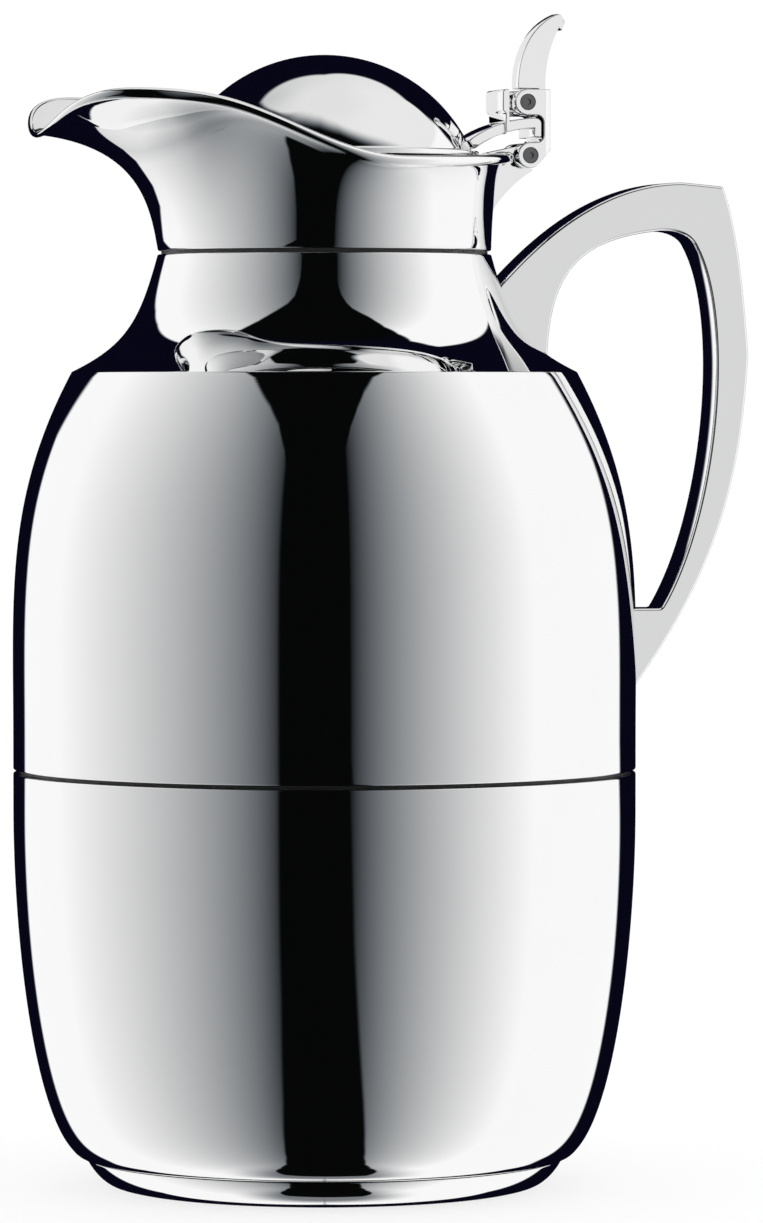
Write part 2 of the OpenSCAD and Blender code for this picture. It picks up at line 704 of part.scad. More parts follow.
module stopper_screw() {
    thread_low_z = head_low_z + head_t - eps;
    color(steel) difference() {
        union() {
            translate([0, 0, head_low_z]) cylinder(r = head_r, h = head_t, $fn = small_fn);
            translate([0, 0, thread_low_z])
                cylinder(r = lid_screw_r, h = dome_edge_z + thread_l - thread_low_z,
                         $fn = small_fn);
        }
        translate([0, 0, plug_low_z])
            cylinder(r = socket_flats_r, h = groove + head_t/2, $fn = 6);
    }
}

// ---- handle ----
handle_x = body_r + handle_reach;
handle_top_z = neck_z + handle_top_h;
handle_foot_z = seam_z + handle_foot_h;
grip_floor_z = handle_foot_z + grip_floor_h;
screw_top_z = neck_z - screw_top_drop;
screw_low_z = handle_foot_z + screw_low_h;
handle_front = 1.2;
grip_in = 7.4;
handle_front_x = neck_r + handle_front;
handle_run = handle_x - handle_front_x;
handle_fall = handle_top_z - handle_foot_z;
screw_bite_top = 9;
screw_bite_low = 5;
screw_spare = 0.5;
// A point of the handle's side outline, in shares of its run and its fall
function handle_at(out, down) =
    [handle_front_x + out*handle_run, handle_top_z - down*handle_fall];

module handle() {
    outer = concat(
        bezier(handle_at(0, 0.2026), handle_at(0.154, 0.1164),
               handle_at(0.4, 0) + [0, handle_crown], handle_at(0.74, 0) + [0, handle_crown], 12),
        bezier(handle_at(0.8973, 0), handle_at(0.9646, 0.0862), handle_at(0.9894, 0.2548),
               handle_at(1, 0.3309), 8),
        [for (i = [1:12]) bezier(handle_at(1, 0.3309), handle_at(0.9717, 0.6022),
               handle_at(0.8496, 0.7773), [body_r - seat_clear, handle_foot_z], 12)[i]],
        [[0.7*body_r, handle_foot_z], handle_at(-0.106, 0.3309)]);
    inner = concat(
        bezier(handle_at(0.2071, 0.4372), handle_at(0.1717, 0.1769), handle_at(0.3027, 0.1091),
               handle_at(0.6283, 0.0889), 12),
        [for (i = [1:6]) bezier(handle_at(0.6283, 0.0889), handle_at(0.7133, 0.0834),
               handle_at(0.7699, 0.0972), handle_at(0.7876, 0.1182), 6)[i]],
        [for (i = [1:14]) bezier(handle_at(0.7876, 0.1182),
               handle_at(1, 0.2576) - [0.46*handle_t, 0],
               handle_at(1, 0.6434) - [0.946*handle_t, 0],
               [body_r + grip_in, grip_floor_z], 14)[i]],
        [[0.8*body_r, grip_floor_z]]);
    color(chrome) difference() {
        plate(handle_w) polygon(outer);
        plate(handle_w + 1) polygon(inner);
        upper_form(seat_clear);
        translate([0, 0, neck_z - 1]) cylinder(r = neck_r + seat_clear, h = 20, $fn = round_fn);
        translate([0, 0, screw_top_z]) rotate([0, 90, 0])
            cylinder(r = screw_r + pin_clear, h = neck_r + screw_bite_top + screw_spare,
                     $fn = small_fn);
        translate([0, 0, screw_low_z]) rotate([0, 90, 0])
            cylinder(r = screw_r + pin_clear, h = body_r + screw_bite_low + screw_spare,
                     $fn = small_fn);
    }
}

saddle_t = 1.2;
saddle_w = 8;
saddle_h = 9;
screw_head_t = 2;
// Inside radius of the upper shell at a height, read from its own outline
function inside_r(z) = lookup(z, [for (p = upper_inside) [p[1], p[0]]]);
// Where a flat block of the saddle's width meets the round wall at a height
function saddle_x(z) = sqrt(pow(inside_r(z), 2) - pow(saddle_w/2, 2)) - 2*seat_clear;
function saddle_back_x(z) = saddle_x(z + saddle_h/2) - saddle_t;

module handle_saddles() {
    color(steel) for (z = [screw_top_z, screw_low_z])
        difference() {
            plate(saddle_w)
                polygon(concat([for (i = [-2:2]) let (h = z + i*saddle_h/4) [saddle_x(h), h]],
                               [[saddle_back_x(z), z + saddle_h/2],
                                [saddle_back_x(z), z - saddle_h/2]]));
            translate([0, 0, z]) rotate([0, 90, 0])
                cylinder(r = screw_r + move_clear, h = body_r, $fn = small_fn);
        }
}

module handle_screws() {
    ends = [[screw_top_z, neck_r + screw_bite_top], [screw_low_z, body_r + screw_bite_low]];
    color(steel) for (e = ends) {
        head_x = saddle_back_x(e[0]) - screw_head_t;
        translate([head_x, 0, e[0]]) rotate([0, 90, 0]) union() {
            cylinder(r = 1.8*screw_r, h = screw_head_t, $fn = small_fn);
            cylinder(r = screw_r, h = e[1] - head_x, $fn = small_fn);
        }
    }
}

upper_shell();
lower_shell();
upper_coupling_ring();
lower_coupling_ring();
foot_ring();
base_plate();
base_pad();
liner_support();
liner_outer_flask();
liner_inner_flask();
liner_spacers();
mouth_gasket();
neck_insert();
spout_collar();
hinge_bracket();
lever_pin();
thumb_lever();
lid_pin();
lid_dome();
lid_plate();
lid_arm();
stopper_body();
stopper_seal();
stopper_screw();
handle();
handle_screws();
handle_saddles();
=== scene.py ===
"""The looks of the insulated coffee jug: mirror-bright shells, collar, dome, handle and lever,
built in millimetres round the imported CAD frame, with a white studio like the photograph's."""

import json
import math

import bmesh
import bpy
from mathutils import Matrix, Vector
from mathutils.geometry import tessellate_polygon

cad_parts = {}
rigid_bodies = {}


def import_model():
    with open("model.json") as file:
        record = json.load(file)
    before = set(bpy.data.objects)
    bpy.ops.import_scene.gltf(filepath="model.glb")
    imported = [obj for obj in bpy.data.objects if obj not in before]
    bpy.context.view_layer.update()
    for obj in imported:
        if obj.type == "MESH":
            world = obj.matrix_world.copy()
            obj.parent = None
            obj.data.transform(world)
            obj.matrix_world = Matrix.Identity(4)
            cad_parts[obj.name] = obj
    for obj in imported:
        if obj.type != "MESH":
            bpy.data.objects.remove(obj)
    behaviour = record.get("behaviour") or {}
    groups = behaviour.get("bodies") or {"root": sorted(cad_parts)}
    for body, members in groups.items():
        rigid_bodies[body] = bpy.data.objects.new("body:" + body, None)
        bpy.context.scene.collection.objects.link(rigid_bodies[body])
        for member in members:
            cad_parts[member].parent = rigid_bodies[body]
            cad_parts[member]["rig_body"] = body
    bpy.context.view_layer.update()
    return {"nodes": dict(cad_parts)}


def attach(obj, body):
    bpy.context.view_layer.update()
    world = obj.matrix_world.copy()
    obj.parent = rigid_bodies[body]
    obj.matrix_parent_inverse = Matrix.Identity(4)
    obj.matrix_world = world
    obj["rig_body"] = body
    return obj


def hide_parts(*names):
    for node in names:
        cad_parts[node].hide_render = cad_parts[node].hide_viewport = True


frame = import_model()

MM = 0.001

# ---- sizes, the same as the CAD part's, in millimetres ----
# The shells: the body's radius and its seam, the crease and the neck
BODY_R, SEAM_Z = 66.0, 88.0
CREASE_R, CREASE_Z = 53.5, 172.4
NECK_R, NECK_Z = 35.3, 197.6
# The heel: where the lower shell turns under, its edge over the foot ring, the groove between
# them, and how far the sheet runs on inwards
TURN_R, TURN_Z = 53.9, 8.0
HEEL_R, HEEL_Z, GROOVE, HEEL_FOLD = 51.6, 5.8, 0.2, 4
# The shells' wall, half the line between two shells, and the upright belt round the seam
SHEET, HALF_GAP = 1.0, 0.4
BELT_RISE, BELT_DROP = 7.0, 8.0
# The foot ring: its top, its rim and how high that lies, and its ledge over the base plate
FOOT_TOP_R, FOOT_RIM_R, FOOT_LIFT = 50.6, 44.9, 0.2
PLATE_IN, PLATE_GAP, LEDGE_W, LEDGE_Z = 0.8, 0.05, 2.4, 3.6
# The collar's rim: its round part, the lip's reach, and its height at the side, back, crest and tip
RIM_R, LIP_REACH = 38.9, 62.1
RIM_SIDE_Z, RIM_BACK_Z, RIM_CREST_Z, LIP_TIP_Z = 217.1, 219.2, 231.0, 222.6
# In degrees from the lip: how wide the lip is, and where the rim is highest and lowest
LIP_ANGLE, LIP_POWER, CREST_TURN, SIDE_TURN = 35.4, 5.4, 30.0, 100.6
# The bead along the rim: its radius, its radius at the lip's tip, from where to where it thins,
# and how far it wraps round the wall's edge, outside and inside, in degrees
BEAD_R, LIP_BEAD_R, THIN_FROM, THIN_TO = 1.2, 0.6, 8, 32
BEAD_OUTSIDE, BEAD_INSIDE = 115, 125
# The dome and the narrow brim under it
DOME_R, DOME_TOP_Z, DOME_EDGE_Z = 34.1, 239.4, 217.6
BRIM_R, BRIM_H, BRIM_W = 32.7, 1.4, 3.6
# The handle: its width, how far out and how high it reaches, its foot and the floor of the grip,
# its thickness, its front end, the crown of its top, and the grip's distance from the body
HANDLE_W, HANDLE_X, HANDLE_TOP_Z = 10.0, 93.0, 212.1
HANDLE_FOOT_Z, GRIP_FLOOR_Z, HANDLE_T = 103.0, 121.8, 7.4
HANDLE_FRONT_X, HANDLE_CROWN, GRIP_IN = 36.5, 0.8, 7.4
# How deep its ends go into the wall, which hides the joint, and its root and its foot at first
JOINT_DEPTH, ROOT_DEPTH, FOOT_DEPTH = 0.45, 14, 0.05

# ---- how finely the smooth pieces are made ----
RING_STEPS = 288
CURVE_STEPS, INNER_SKIP = 72, 6
WALL_STEPS, BEAD_STEPS = 40, 20
DOME_STEPS, LINING_STEPS = 96, 24
ROOT_STEPS = 30
CORNER_STEPS, EDGE_STEPS, BEVEL_STEPS = 5, 6, 3

# ---- edge roundings ----
CREASE_ROUND = 0.35
FOOT_ROUND = 0.2
LIP_ROUND = 0.3
BRIM_ROUND = 0.4
HANDLE_ROUND = 0.7
HANDLE_CORNER = 1.4 * HANDLE_ROUND
SMALL_ROUND = 0.22

# ---- limits ----
# How close points are one, in metres, and the most of a side that a rounded corner takes
WELD, CAD_WELD, TINY = 1e-7, 1e-6, 1e-9
MOST = 0.45
# From how many degrees on an edge is shaded sharp, a face isn't flat, and a corner is rounded
SHARP, COLLAR_SHARP, PRISM_SHARP, EASED_SHARP = 30, 50, 32, 34
FLAT, CORNER, CAD_CORNER = 0.5, 20, 35


# ---- curves in the half plane (radius, height) ----
def bezier(p0, p1, p2, p3, steps=CURVE_STEPS):
    """Points on a cubic curve from p0 to p3; p1 and p2 are the handles that shape it."""
    out = []
    for i in range(steps + 1):
        t = i / steps
        s = 1 - t
        w = (s * s * s, 3 * s * s * t, 3 * s * t * t, t * t * t)
        out.append(tuple(sum(k * p[j] for k, p in zip(w, (p0, p1, p2, p3))) for j in (0, 1)))
    return out


def arc(centre, r, start, end, steps):
    """Points on a circle, from start to end in degrees."""
    out = []
    for i in range(steps + 1):
        a = math.radians(start + (end - start) * i / steps)
        out.append((centre[0] + r * math.cos(a), centre[1] + r * math.sin(a)))
    return out


def beside(path, d):
    """The path moved sideways by d, to the left of its direction."""
    out = []
    for i, p in enumerate(path):
        a, b = path[max(i - 1, 0)], path[min(i + 1, len(path) - 1)]
        dx, dz = b[0] - a[0], b[1] - a[1]
        n = math.hypot(dx, dz)
        out.append((p[0] - d * dz / n, p[1] + d * dx / n))
    return out


def softened(outline, r):
    """The closed outline with its corners sharper than CORNER degrees rounded to radius r."""
    out = []
    n = len(outline)
    for i, p in enumerate(outline):
        a, b = Vector(outline[i - 1]), Vector(outline[(i + 1) % n])
        c = Vector(p)
        d1, d2 = (c - a), (b - c)
        turn = d1.angle(d2, 0.0)
        if math.degrees(turn) < CORNER:
            out.append(p)
            continue
        reach = min(r * math.tan(turn / 2), MOST * d1.length, MOST * d2.length)
        start, end = c - d1.normalized() * reach, c + d2.normalized() * reach
        for k in range(CORNER_STEPS + 1):
            t = k / CORNER_STEPS
            q = start * (1 - t) ** 2 + c * (2 * t * (1 - t)) + end * t * t
            out.append((q.x, q.y))
    return out


def smooth(u):
    """0 to 1 along half a cosine wave, and level outside that."""
    return (1 - math.cos(math.pi * min(max(u, 0.0), 1.0))) / 2


# ---- meshes ----
def finished(name, bm, sharp):
    """A mesh object from bm, welded, facing outwards and smooth up to sharp degrees."""
    bmesh.ops.remove_doubles(bm, verts=bm.verts, dist=WELD)
    bmesh.ops.recalc_face_normals(bm, faces=bm.faces)
    mesh = bpy.data.meshes.new(name)
    bm.to_mesh(mesh)
    bm.free()
    mesh.shade_smooth()
    mesh.set_sharp_from_angle(angle=math.radians(sharp))
    obj = bpy.data.objects.new(name, mesh)
    bpy.context.scene.collection.objects.link(obj)
    return obj


def ring_mesh(name, sections, sharp=SHARP):
    """A skin through closed sections, each a list of (x, y, z) in mm, in a ring about the axis."""
    bm = bmesh.new()
    rows = [[bm.verts.new(Vector(p) * MM) for p in s] for s in sections]
    count = len(sections[0])
    for k, row in enumerate(rows):
        after = rows[(k + 1) % len(rows)]
        for i in range(count):
            j = (i + 1) % count
            quad = (row[i], row[j], after[j], after[i])
            if (quad[0].co - quad[3].co).length < TINY:
                quad = (row[i], row[j], after[j])
            elif (quad[1].co - quad[2].co).length < TINY:
                quad = (row[i], row[j], after[i])
            bm.faces.new(quad)
    return finished(name, bm, sharp)


def lathe(name, outline):
    """The closed outline (radius, height) turned about the axis."""
    sections = []
    for k in range(RING_STEPS):
        a = 2 * math.pi * k / RING_STEPS
        sections.append([(r * math.cos(a), r * math.sin(a), z) for r, z in outline])
    return ring_mesh(name, sections)


def inset(outline, d):
    """The closed outline moved inwards by d; it runs anticlockwise in (x, z)."""
    out = []
    n = len(outline)
    for i, p in enumerate(outline):
        a, b = outline[i - 1], outline[(i + 1) % n]
        dx, dz = b[0] - a[0], b[1] - a[1]
        size = math.hypot(dx, dz)
        out.append((p[0] - d * dz / size, p[1] + d * dx / size))
    return out


def prism(name, outline, width, edge_r):
    """A side outline (x, z) given a width across y, with its rims rounded."""
    area = sum(a[0] * b[1] - b[0] * a[1] for a, b in zip(outline, outline[1:] + outline[:1]))
    if area < 0:
        outline = outline[::-1]
    turns = [math.radians(90 * k / EDGE_STEPS) for k in range(EDGE_STEPS + 1)]
    levels = [(edge_r * (1 - math.sin(t)), width / 2 - edge_r * (1 - math.cos(t))) for t in turns]
    levels = [(d, -y) for d, y in levels] + [(d, y) for d, y in reversed(levels)]
    bm = bmesh.new()
    rows = [[bm.verts.new((x * MM, y * MM, z * MM)) for x, z in inset(outline, d)]
            for d, y in levels]
    n = len(outline)
    for row, after in zip(rows, rows[1:]):
        for i in range(n):
            j = (i + 1) % n
            bm.faces.new((row[i], row[j], after[j], after[i]))
    flat = [Vector((x, z, 0)) for x, z in inset(outline, levels[0][0])]
    for a, b, c in tessellate_polygon([flat]):
        for row in (rows[0], rows[-1]):
            bm.faces.new((row[a], row[b], row[c]))
    return finished(name, bm, PRISM_SHARP)


def eased(node):
    """A copy of a CAD node with its sharp edges rounded."""
    bm = bmesh.new()
    bm.from_mesh(frame["nodes"][node].data)
    bmesh.ops.remove_doubles(bm, verts=bm.verts, dist=CAD_WELD)
    bmesh.ops.dissolve_limit(bm, angle_limit=math.radians(FLAT), verts=bm.verts, edges=bm.edges)
    sharp = [e for e in bm.edges
             if len(e.link_faces) == 2 and e.calc_face_angle(0) > math.radians(CAD_CORNER)]
    bmesh.ops.bevel(bm, geom=sharp, offset=SMALL_ROUND * MM, offset_type="OFFSET",
                    segments=BEVEL_STEPS, profile=0.5, affect="EDGES", clamp_overlap=True)
    return finished(node + "_bright", bm, EASED_SHARP)


# ---- materials ----
NOISE_LOW, NOISE_HIGH = 0.3, 0.7
# How much coarser the changes of roughness are than the grain
CLOUD = 8


def nodes_of(name):
    """A new node material, its tree and its shader."""
    mat = bpy.data.materials.new(name)
    mat.use_nodes = True
    tree = mat.node_tree
    return mat, tree, tree.nodes["Principled BSDF"]


def noise(tree, scale, detail, stretch=(1, 1, 1)):
    """A noise value in object space, features stretched by the given factors."""
    coord = tree.nodes.new("ShaderNodeTexCoord")
    mapping = tree.nodes.new("ShaderNodeMapping")
    mapping.inputs["Scale"].default_value = stretch
    tex = tree.nodes.new("ShaderNodeTexNoise")
    tex.inputs["Scale"].default_value = scale
    tex.inputs["Detail"].default_value = detail
    tree.links.new(coord.outputs["Object"], mapping.inputs["Vector"])
    tree.links.new(mapping.outputs["Vector"], tex.inputs["Vector"])
    return tex.outputs["Fac"]


def spread(tree, value, low, high):
    """A noise value, mostly between NOISE_LOW and NOISE_HIGH, spread over low to high."""
    node = tree.nodes.new("ShaderNodeMapRange")
    node.inputs["From Min"].default_value = NOISE_LOW
    node.inputs["From Max"].default_value = NOISE_HIGH
    node.inputs["To Min"].default_value = low
    node.inputs["To Max"].default_value = high
    tree.links.new(value, node.inputs["Value"])
    return node.outputs["Result"]


def tinted(tree, value, dark, light):
    """A colour between two shades, by value."""
    mix = tree.nodes.new("ShaderNodeMix")
    mix.data_type = "RGBA"
    mix.inputs["A"].default_value = (*dark, 1)
    mix.inputs["B"].default_value = (*light, 1)
    tree.links.new(value, mix.inputs["Factor"])
    return mix.outputs["Result"]


def bumped(tree, shader, value, strength, distance):
    """Relief on the shader from value, distance millimetres deep."""
    bump = tree.nodes.new("ShaderNodeBump")
    bump.inputs["Strength"].default_value = strength
    bump.inputs["Distance"].default_value = distance * MM
    tree.links.new(value, bump.inputs["Height"])
    tree.links.new(bump.outputs["Normal"], shader.inputs["Normal"])


def surface(name, dark, light, rough, metal=0.0, scale=400, detail=3, stretch=(1, 1, 1),
            bump=(0.1, 0.02)):
    """A procedural finish: two close shades, a roughness range and a fine relief."""
    mat, tree, shader = nodes_of(name)
    grain = noise(tree, scale, detail, stretch)
    tree.links.new(tinted(tree, grain, dark, light), shader.inputs["Base Color"])
    cloud = noise(tree, scale / CLOUD, detail=2)
    tree.links.new(spread(tree, cloud, *rough), shader.inputs["Roughness"])
    shader.inputs["Metallic"].default_value = metal
    bumped(tree, shader, grain, *bump)
    return mat


MATERIALS = {
    "mirror_metal": surface("mirror_chrome", (0.925, 0.925, 0.925), (0.945, 0.945, 0.945),
                            rough=(0.012, 0.03), metal=1.0, scale=60, detail=2,
                            bump=(0.012, 0.004)),
    "steel": surface("brushed_steel", (0.5, 0.5, 0.51), (0.62, 0.62, 0.63), rough=(0.22, 0.34),
                     metal=1.0, scale=300, stretch=(1, 1, 12), bump=(0.08, 0.01)),
    "dark_plastic": surface("dark_plastic", (0.012, 0.012, 0.013), (0.02, 0.02, 0.021),
                            rough=(0.38, 0.5), scale=900, bump=(0.15, 0.01)),
    "rubber": surface("dark_rubber", (0.014, 0.014, 0.014), (0.024, 0.023, 0.022),
                      rough=(0.65, 0.8), scale=700, bump=(0.25, 0.02)),
    "seal_silicone": surface("silicone", (0.05, 0.05, 0.052), (0.07, 0.07, 0.072),
                             rough=(0.45, 0.6), scale=500, bump=(0.1, 0.01)),
    "liner_glass": surface("silvered_glass", (0.8, 0.82, 0.84), (0.88, 0.9, 0.91),
                           rough=(0.03, 0.08), metal=0.9, scale=40, bump=(0.05, 0.01)),
}

NODE_SLOTS = {
    "mirror_metal": ("upper_shell", "lower_shell", "foot_ring", "spout_collar", "hinge_bracket",
                     "thumb_lever", "lid_dome", "lid_arm", "handle"),
    "steel": ("lever_pin", "lid_pin", "stopper_screw", "handle_screws", "handle_saddles",
              "liner_spacers"),
    "dark_plastic": ("upper_coupling_ring", "lower_coupling_ring", "base_plate", "neck_insert",
                     "lid_plate", "stopper_body"),
    "rubber": ("base_pad", "liner_support", "mouth_gasket"),
    "seal_silicone": ("stopper_seal",),
    "liner_glass": ("liner_outer_flask", "liner_inner_flask"),
}

# Pieces with a finish of their own, darker than their slot's
OWN_FINISH = {
    pin: surface("burnished_steel", (0.1, 0.1, 0.105), (0.16, 0.16, 0.165), rough=(0.18, 0.28),
                 metal=1.0, scale=500, bump=(0.08, 0.01))
    for pin in ("lever_pin", "lid_pin")
}


def dress(obj, slot):
    """obj gets the slot's finish, or its own."""
    obj.data.materials.clear()
    obj.data.materials.append(OWN_FINISH.get(obj.name, MATERIALS[slot]))


for slot, members in NODE_SLOTS.items():
    for member in members:
        dress(frame["nodes"][member], slot)


def stand_in(obj, node):
    """obj is shown instead of a bright CAD node, on the node's own body."""
    dress(obj, "mirror_metal")
    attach(obj, frame["nodes"][node]["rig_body"])
    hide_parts(node)


# ---- body shells ----
def seam_to_crease():
    """Up the upper shell's flank."""
    return [(BODY_R, SEAM_Z + HALF_GAP)] + bezier(
        (BODY_R, SEAM_Z + BELT_RISE),
        (BODY_R, SEAM_Z + BELT_RISE + 0.4 * (CREASE_Z - SEAM_Z - BELT_RISE)),
        (CREASE_R + 14.2, CREASE_Z - 26.7), (CREASE_R, CREASE_Z))


def crease_to_neck():
    """Over the hollow shoulder."""
    run, rise = CREASE_R - NECK_R, NECK_Z - CREASE_Z
    return bezier((CREASE_R, CREASE_Z), (CREASE_R - 0.64 * run, CREASE_Z + 0.225 * rise),
                  (NECK_R + 0.21 * run, NECK_Z - 0.57 * rise), (NECK_R, NECK_Z - HALF_GAP))


def seam_to_heel():
    """Down the lower shell's flank."""
    return [(BODY_R, SEAM_Z - HALF_GAP)] + bezier(
        (BODY_R, SEAM_Z - BELT_DROP), (BODY_R, SEAM_Z - BELT_DROP - 27),
        (TURN_R + 8.1, TURN_Z + 9.4), (TURN_R, TURN_Z))


def under_heel():
    """The edge of the lower shell, turned under to a groove over the foot ring."""
    low = HEEL_Z + GROOVE
    return bezier((TURN_R, TURN_Z), (TURN_R - 0.72, TURN_Z - 0.84), (HEEL_R + 0.9, low + 0.3),
                  (HEEL_R - 0.6, low), steps=12)[1:] + [(HEEL_R - HEEL_FOLD, low)]


def sheet_outline(outer, side, ends):
    """A closed outline of a wall SHEET thick along the outer line, with the given far end."""
    inner = beside(outer, side * SHEET)[1:-1:INNER_SKIP]
    return softened(outer + ends + inner[::-1] + [(outer[0][0] - SHEET, outer[0][1])],
                    CREASE_ROUND)


def heel_fold():
    """The lower shell's fold, on the outside and back along its inside."""
    return under_heel() + [(HEEL_R - HEEL_FOLD, HEEL_Z + SHEET), (HEEL_R - SHEET, HEEL_Z + SHEET)]


def foot_outline():
    """The foot ring's section: its flank, its rim and the ledge that lies on the base plate."""
    flank = bezier((FOOT_TOP_R, HEEL_Z), (FOOT_TOP_R - 1.2, HEEL_Z - 2.6),
                   (FOOT_RIM_R + 2, FOOT_LIFT + 0.4), (FOOT_RIM_R, FOOT_LIFT), steps=24)
    plate_r = FOOT_RIM_R - PLATE_IN
    return softened(flank + [(plate_r + PLATE_GAP, FOOT_LIFT), (plate_r + PLATE_GAP, LEDGE_Z),
                             (plate_r - LEDGE_W, LEDGE_Z), (plate_r - LEDGE_W, HEEL_Z)],
                    FOOT_ROUND)


upper_line = seam_to_crease() + crease_to_neck()[1:]
neck_edge = [(NECK_R - SHEET, NECK_Z - HALF_GAP)]
stand_in(lathe("upper_shell_bright", sheet_outline(upper_line, 1, neck_edge)), "upper_shell")
stand_in(lathe("lower_shell_bright", sheet_outline(seam_to_heel(), -1, heel_fold())), "lower_shell")
stand_in(lathe("foot_ring_bright", foot_outline()), "foot_ring")


# ---- pouring collar ----
def rim_radius(turn):
    """The rim's distance from the axis, by the angle from the lip in degrees."""
    return RIM_R + (LIP_REACH - RIM_R) / (1 + (turn / LIP_ANGLE) ** LIP_POWER)


def rim_height(turn):
    """Down from the crest to the lip's tip and to the side, and up again at the back."""
    return (RIM_SIDE_Z
            + (RIM_BACK_Z - RIM_SIDE_Z) * smooth((turn - SIDE_TURN) / (180 - SIDE_TURN))
            + (RIM_CREST_Z - RIM_SIDE_Z) * smooth((SIDE_TURN - turn) / (SIDE_TURN - CREST_TURN))
            - (RIM_CREST_Z - LIP_TIP_Z) * smooth((CREST_TURN - turn) / CREST_TURN))


COLLAR_Z = NECK_Z + HALF_GAP


def rim_bead(turn):
    """The bead's radius; it thins towards the lip's tip."""
    return (LIP_BEAD_R
            + (BEAD_R - LIP_BEAD_R) * smooth((turn - THIN_FROM) / (THIN_TO - THIN_FROM)))


def collar_section(turn):
    """The collar's wall at an angle from the lip, as a closed list of (radius, height)."""
    bead_r = rim_bead(turn)
    r, z = rim_radius(turn), rim_height(turn) - bead_r
    rise, flare = z - COLLAR_Z, r - NECK_R
    line = bezier((NECK_R, COLLAR_Z), (NECK_R + 0.076 * flare, COLLAR_Z + 0.522 * rise),
                  (NECK_R + 0.283 * flare, COLLAR_Z + 0.919 * rise), (r, z), WALL_STEPS)
    inner = beside(line, SHEET)
    lean = math.degrees(math.atan2(line[-1][1] - line[-2][1], line[-1][0] - line[-2][0]))
    bead = arc(line[-1], bead_r, lean - BEAD_OUTSIDE, lean + BEAD_INSIDE, BEAD_STEPS)
    foot = [(NECK_R - LIP_ROUND, COLLAR_Z), (NECK_R - LIP_ROUND * 0.3, COLLAR_Z + LIP_ROUND * 0.3),
            (NECK_R, COLLAR_Z + LIP_ROUND)]
    return foot + line[2:-1] + bead + inner[-2:0:-1] + [(NECK_R - SHEET, COLLAR_Z)]


def collar_sections():
    """The wall all round, from the lip, which points to -X."""
    out = []
    for k in range(RING_STEPS):
        a = 360 * k / RING_STEPS
        turn = a if a <= 180 else 360 - a
        c, s = math.cos(math.radians(a)), math.sin(math.radians(a))
        out.append([(-r * c, -r * s, z) for r, z in collar_section(turn)])
    return out


stand_in(ring_mesh("spout_collar_bright", collar_sections(), COLLAR_SHARP), "spout_collar")


# ---- dome ----
def dome_outline():
    """The dome's half section, from its brim over the top and back along its inside."""
    centre_z = DOME_TOP_Z - DOME_R
    brim_top = DOME_EDGE_Z + BRIM_H
    brim_in = BRIM_R - BRIM_W
    edge = math.degrees(math.asin((brim_top - centre_z) / DOME_R))
    lining_r = DOME_R - SHEET
    lining_edge = math.degrees(math.asin((brim_top - centre_z) / lining_r))
    brim = [(brim_in, DOME_EDGE_Z), (BRIM_R, DOME_EDGE_Z), (BRIM_R, brim_top)]
    dome = arc((0, centre_z), DOME_R, edge, 90, DOME_STEPS)
    lining = arc((0, centre_z), lining_r, 90, lining_edge, LINING_STEPS)
    return (softened(brim + dome[:-1], BRIM_ROUND)[1:-1]
            + [(0.0, DOME_TOP_Z), (0.0, DOME_TOP_Z - SHEET)]
            + lining[1:] + [(brim_in, brim_top), (brim_in, DOME_EDGE_Z)])


stand_in(lathe("lid_dome_bright", dome_outline()), "lid_dome")


# ---- handle ----
def handle_at(out, down):
    """A point of the side outline, in shares of the handle's run and its fall."""
    return (HANDLE_FRONT_X + out * (HANDLE_X - HANDLE_FRONT_X),
            HANDLE_TOP_Z - down * (HANDLE_TOP_Z - HANDLE_FOOT_Z))


def moved(point, dx=0.0, dz=0.0):
    """The point, moved by millimetres."""
    return (point[0] + dx, point[1] + dz)


def handle_outside():
    """From the front end over the top and down to the foot."""
    return (bezier(handle_at(0, 0.2026), handle_at(0.154, 0.1164),
                   moved(handle_at(0.4, 0), dz=HANDLE_CROWN),
                   moved(handle_at(0.74, 0), dz=HANDLE_CROWN), steps=48)
            + bezier(handle_at(0.8973, 0), handle_at(0.9646, 0.0862), handle_at(0.9894, 0.2548),
                     handle_at(1, 0.3309), steps=32)
            + bezier(handle_at(1, 0.3309), handle_at(0.9717, 0.6022), handle_at(0.8496, 0.7773),
                     (BODY_R - FOOT_DEPTH, HANDLE_FOOT_Z), steps=48)[1:])


def handle_inside():
    """Round the finger hole, from the wall under the top to the grip's floor."""
    return (bezier(handle_at(0.2071, 0.4372), handle_at(0.1717, 0.1769),
                   handle_at(0.3027, 0.1091), handle_at(0.6283, 0.0889), steps=48)
            + bezier(handle_at(0.6283, 0.0889), handle_at(0.7133, 0.0834),
                     handle_at(0.7699, 0.0972), handle_at(0.7876, 0.1182), steps=24)[1:]
            + bezier(handle_at(0.7876, 0.1182), moved(handle_at(1, 0.2576), -0.46 * HANDLE_T),
                     moved(handle_at(1, 0.6434), -0.946 * HANDLE_T),
                     (BODY_R + GRIP_IN, GRIP_FLOOR_Z), steps=64)[1:]
            + [(BODY_R - ROOT_DEPTH, GRIP_FLOOR_Z)])


def wall_x(z):
    """How far out the body's wall is at a height, less the depth that hides a joint."""
    for a, b in zip(upper_line, upper_line[1:]):
        if a[1] <= z <= b[1]:
            t = (z - a[1]) / max(b[1] - a[1], TINY)
            return a[0] + t * (b[0] - a[0]) - JOINT_DEPTH
    return upper_line[-1][0] - JOINT_DEPTH


def along_wall(low, high):
    """Points along the wall from a height to another."""
    heights = [low + (high - low) * i / ROOT_STEPS for i in range(ROOT_STEPS + 1)]
    return [(wall_x(z), z) for z in heights]


